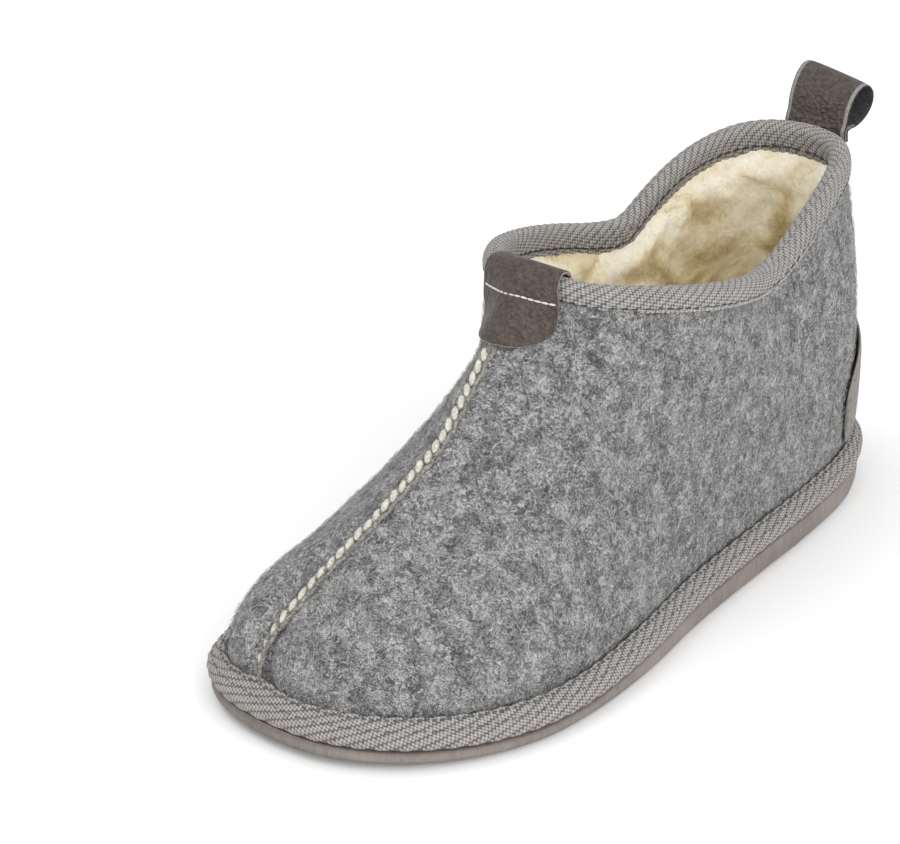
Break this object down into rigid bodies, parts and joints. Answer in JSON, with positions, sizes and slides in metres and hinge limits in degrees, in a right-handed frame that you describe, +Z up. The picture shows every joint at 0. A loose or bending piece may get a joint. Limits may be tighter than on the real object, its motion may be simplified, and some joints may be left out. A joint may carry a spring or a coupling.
{
  "type": "slipper",
  "caption": "Ankle-high felt slipper for a left foot, with a dipped collar, taped edges, a leather pull loop at the heel and a thin rubber wedge sole.",
  "frame": {"origin": "on the sole's flat underside, at the middle of the sole's length", "axes": "+Z up, -Y towards the toe, +X towards the foot's outer side"},
  "size_m": [0.107, 0.2688, 0.1336],
  "materials": {
    "sole_rubber": "matt taupe rubber with fine scuffs",
    "wool_fleece": "cream wool fleece",
    "grey_felt": "heathered grey wool felt",
    "edge_tape": "woven twill tape, warm light grey",
    "brown_leather": "pebbled taupe leather, half matt"
  },
  "bodies": {
    "root": {"outsole": "sole_rubber", "insole": "wool_fleece", "upper": "grey_felt", "sole_binding": "edge_tape", "collar_binding": "edge_tape", "throat_tab": "brown_leather", "heel_counter": "brown_leather", "pull_loop": "brown_leather"}
  },
  "joints": []
}
